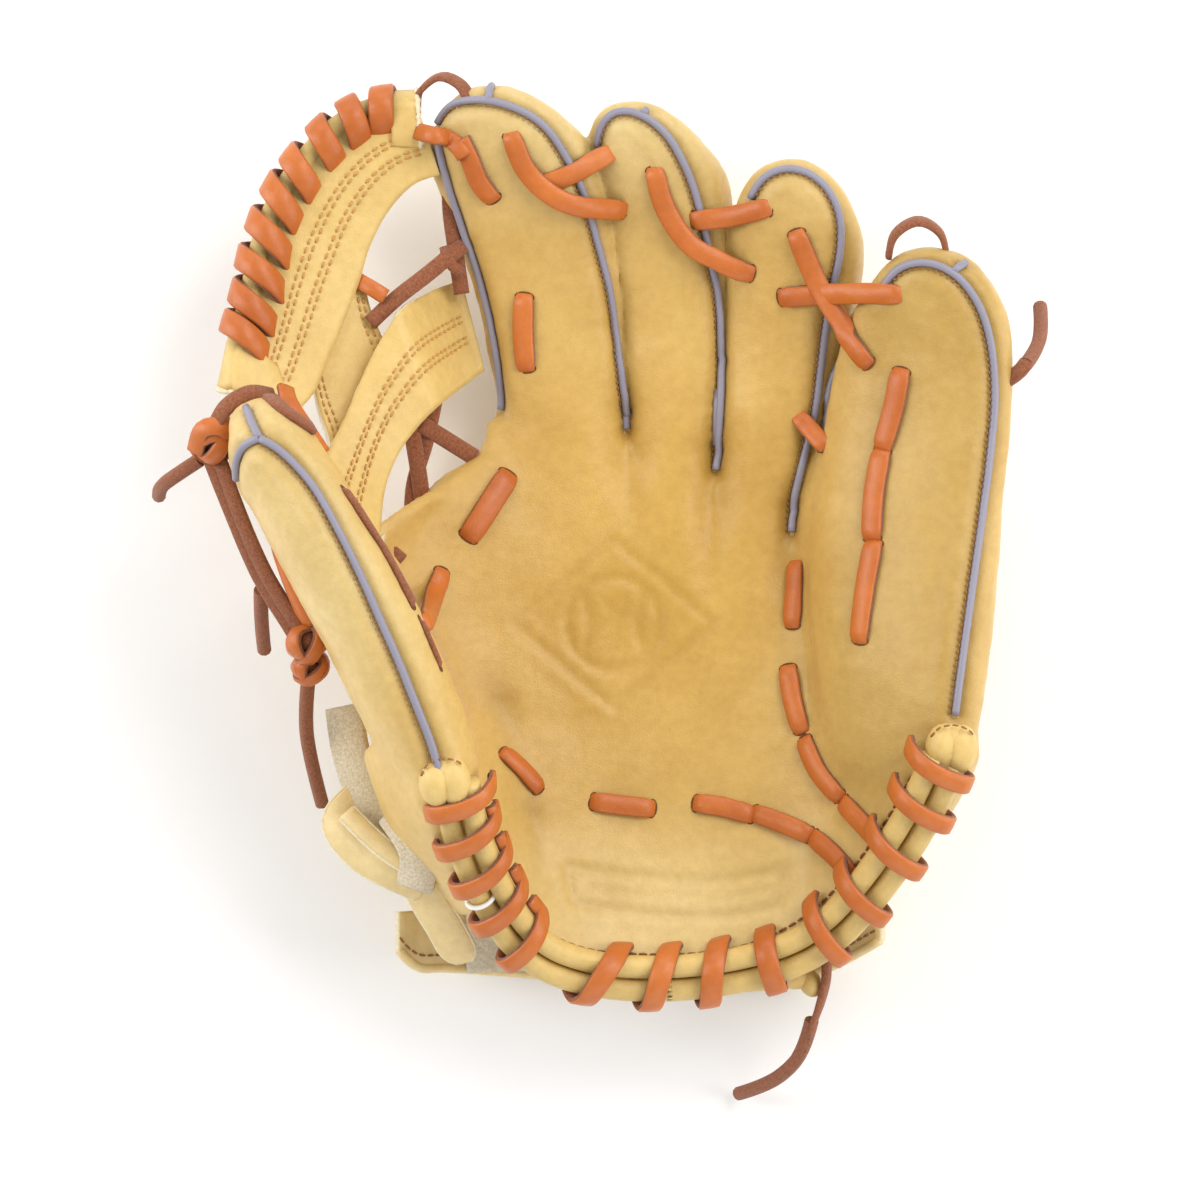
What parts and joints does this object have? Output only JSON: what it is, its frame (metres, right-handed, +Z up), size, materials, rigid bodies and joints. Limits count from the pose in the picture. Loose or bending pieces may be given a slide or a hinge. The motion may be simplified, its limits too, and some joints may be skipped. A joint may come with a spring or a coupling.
{
  "type": "baseball glove",
  "caption": "Fielder's baseball glove of tan leather for the left hand, with a laced single-post web, welted fingers, rolled heel and wrist strap, lying pocket up.",
  "frame": {"origin": "Under the middle of the glove's bounding box, lace tails left out, on the surface it lies on", "axes": "+X towards the little finger, +Y towards the fingertips, +Z up, out of the pocket"},
  "size_m": [0.2724, 0.314, 0.1111],
  "materials": {
    "leather": "smooth full grain, pale tan",
    "lining": "thin matt lining leather",
    "lace": "orange-tan rawhide lace, brown flesh side",
    "welting": "grey welting, slightly glossy",
    "suede": "speckled flesh-side suede",
    "felt": "pressed felt padding",
    "wool": "short fleece wrist padding"
  },
  "bodies": {
    "palm": {"back_lining": "lining", "back_of_hand": "leather", "finger_lace": "lace", "heel_binding": "leather", "heel_lace": "lace", "heel_tail": "lace", "index_back": "leather", "index_front": "leather", "index_lining": "lining", "index_welting": "welting", "middle_back": "leather", "middle_front": "leather", "middle_lining": "lining", "middle_welting": "welting", "palm_lace": "lace", "palm_lining": "lining", "palm_pad": "felt", "palm_shell": "leather", "ring_back": "leather", "ring_front": "leather", "ring_lining": "lining", "ring_welting": "welting", "web_binding_index": "leather", "web_lace_index": "lace", "web_low_index": "leather", "web_top_index": "leather"},
    "thumb": {"thumb_back": "leather", "thumb_binding": "leather", "thumb_front": "leather", "thumb_heel_lace": "lace", "thumb_heel_lining": "lining", "thumb_heel_pad": "felt", "thumb_knots": "lace", "thumb_lining": "lining", "thumb_long_tail": "lace", "thumb_palm": "leather", "thumb_pull_thong": "suede", "thumb_short_tail": "lace", "thumb_side": "leather", "thumb_upper_tail": "lace", "thumb_welting": "welting", "web_binding_thumb": "leather", "web_lace_thumb": "lace", "web_low_thumb": "leather", "web_top_thumb": "leather"},
    "pinky": {"pinky_back": "leather", "pinky_binding": "leather", "pinky_front": "leather", "pinky_heel": "leather", "pinky_heel_lace": "lace", "pinky_heel_lining": "lining", "pinky_heel_pad": "felt", "pinky_lace": "lace", "pinky_lining": "lining", "pinky_side": "leather", "pinky_tail": "lace", "pinky_welting": "welting"},
    "wrist_strap": {"wrist_pad": "wool", "wrist_strap": "leather"}
  },
  "joints": [
    {"name": "thumb_fold", "type": "hinge", "parent": "palm", "child": "thumb", "pos_m": [-0.0568, -0.0154, 0.052], "axis": [-0.3608, 0.9313, 0.0503], "range_deg": [0, 35]},
    {"name": "pinky_fold", "type": "hinge", "parent": "palm", "child": "pinky", "pos_m": [0.0672, -0.0204, 0.044], "axis": [-0.0659, -0.9976, 0.0188], "range_deg": [0, 25]},
    {"name": "wrist_strap_tighten", "type": "hinge", "parent": "palm", "child": "wrist_strap", "pos_m": [0.0682, -0.1164, 0.015], "axis": [0, 1, 0], "range_deg": [0, 8]}
  ]
}
